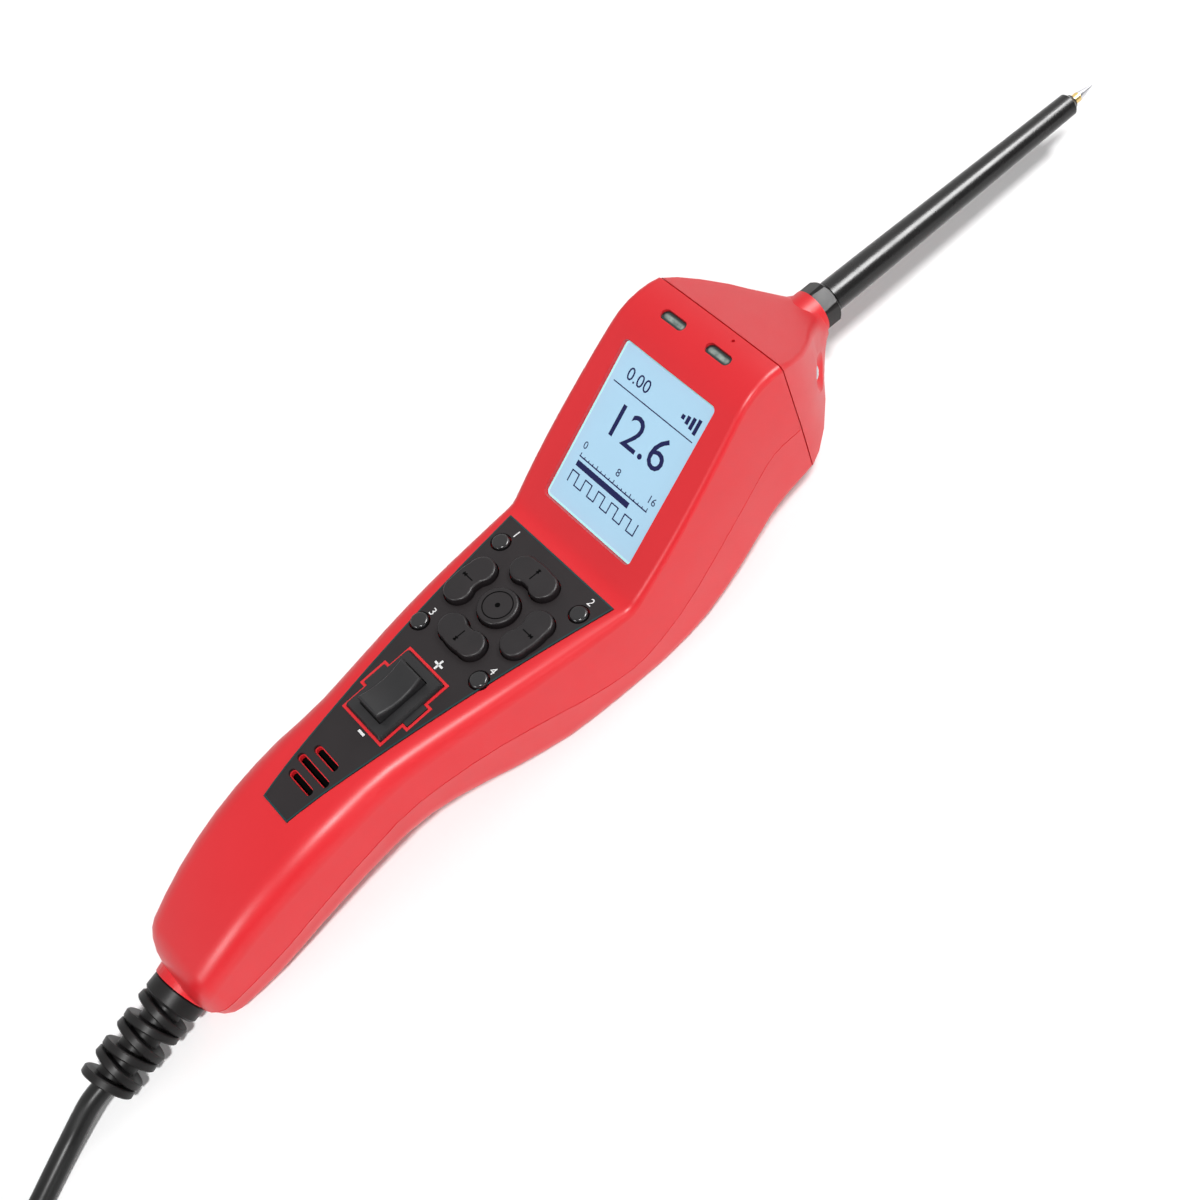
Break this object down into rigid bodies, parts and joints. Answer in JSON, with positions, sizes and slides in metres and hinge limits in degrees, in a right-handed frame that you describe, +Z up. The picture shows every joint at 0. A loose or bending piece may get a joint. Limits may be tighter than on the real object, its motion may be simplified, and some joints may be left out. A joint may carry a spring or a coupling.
{
  "type": "automotive circuit tester",
  "caption": "Hand-held automotive circuit tester: clamshell grip, tilted display, keypad, rocker switch, long probe and a power lead tied in a hank.",
  "frame": {"origin": "centre of the base of the tester without its cord, on the surface that it lies on", "axes": "+X towards the probe point, +Z up with the tester lying on its belly and tail, keypad up"},
  "size_m": [0.5959, 0.07, 0.071],
  "materials": {
    "red_shell": "satin moulded ABS",
    "screw_steel": "zinc-plated",
    "overlay": "fine matt printed film",
    "key_rubber": "matt silicone",
    "button_gloss": "gloss",
    "circuit_board": "solder mask",
    "contact_metal": "plated",
    "switch_plastic": "satin nylon",
    "display_clear": "clear acrylic over a lit panel",
    "display_frame": "brushed",
    "component_black": "moulded",
    "flex_film": "polyimide film",
    "indicator_lens": "smoked clear",
    "lamp_lens": "clear",
    "probe_black": "satin to gloss",
    "probe_gold": "polished",
    "probe_steel": "ground",
    "relief_rubber": "moulded PVC",
    "lead_jacket": "satin PVC",
    "tie_nylon": "woven hook-and-loop"
  },
  "bodies": {
    "tester": {"top_cover": "red_shell", "bottom_cover": "red_shell", "nose_cover": "red_shell", "housing_screws": "screw_steel", "keypad_overlay": "overlay", "keypad_board": "circuit_board", "key_domes": "contact_metal", "rocker_housing": "switch_plastic", "rocker_terminals": "contact_metal", "display_lens": "display_clear", "display_module": "display_frame", "main_board": "circuit_board", "board_screws": "screw_steel", "circuit_breaker": "component_black", "ribbon_cable": "flex_film", "speaker": "component_black", "indicator_left": "indicator_lens", "indicator_right": "indicator_lens", "work_light_left": "lamp_lens", "work_light_right": "lamp_lens", "probe_socket": "contact_metal", "probe_collar": "probe_black", "probe_sleeve": "probe_black", "probe_rod": "probe_gold", "probe_point": "probe_steel", "strain_relief": "relief_rubber", "inner_leads": "lead_jacket", "power_cord": "lead_jacket", "cord_hank": "lead_jacket", "cord_tie": "tie_nylon", "cord_end": "lead_jacket", "cord_connector": "lead_jacket", "connector_pins": "contact_metal"},
    "rocker": {"rocker_actuator": "switch_plastic"},
    "key_mode": {"key_mode": "key_rubber"},
    "key_up": {"key_up": "key_rubber"},
    "key_left": {"key_left": "key_rubber"},
    "key_down": {"key_down": "key_rubber"},
    "key_right": {"key_right": "key_rubber"},
    "button_1": {"button_1": "button_gloss"},
    "button_2": {"button_2": "button_gloss"},
    "button_3": {"button_3": "button_gloss"},
    "button_4": {"button_4": "button_gloss"}
  },
  "joints": [
    {"name": "rocker_tilt", "type": "hinge", "parent": "tester", "child": "rocker", "pos_m": [-0.06465, 0, 0.04355], "axis": [0, 1, 0], "range_deg": [-7.5, 7.5], "stiffness_Nm_per_rad": 0.06},
    {"name": "key_mode_press", "type": "slide", "parent": "tester", "child": "key_mode", "axis": [-0.1207, 0, -0.9927], "range_m": [0, 0.0008], "stiffness_N_per_m": 900},
    {"name": "key_up_press", "type": "slide", "parent": "tester", "child": "key_up", "axis": [-0.1207, 0, -0.9927], "range_m": [0, 0.0008], "stiffness_N_per_m": 900},
    {"name": "key_left_press", "type": "slide", "parent": "tester", "child": "key_left", "axis": [-0.1207, 0, -0.9927], "range_m": [0, 0.0008], "stiffness_N_per_m": 900},
    {"name": "key_down_press", "type": "slide", "parent": "tester", "child": "key_down", "axis": [-0.1207, 0, -0.9927], "range_m": [0, 0.0008], "stiffness_N_per_m": 900},
    {"name": "key_right_press", "type": "slide", "parent": "tester", "child": "key_right", "axis": [-0.1207, 0, -0.9927], "range_m": [0, 0.0008], "stiffness_N_per_m": 900},
    {"name": "button_1_press", "type": "slide", "parent": "tester", "child": "button_1", "axis": [-0.1207, 0, -0.9927], "range_m": [0, 0.0008], "stiffness_N_per_m": 900},
    {"name": "button_2_press", "type": "slide", "parent": "tester", "child": "button_2", "axis": [-0.1207, 0, -0.9927], "range_m": [0, 0.0008], "stiffness_N_per_m": 900},
    {"name": "button_3_press", "type": "slide", "parent": "tester", "child": "button_3", "axis": [-0.1207, 0, -0.9927], "range_m": [0, 0.0008], "stiffness_N_per_m": 900},
    {"name": "button_4_press", "type": "slide", "parent": "tester", "child": "button_4", "axis": [-0.1207, 0, -0.9927], "range_m": [0, 0.0008], "stiffness_N_per_m": 900}
  ]
}
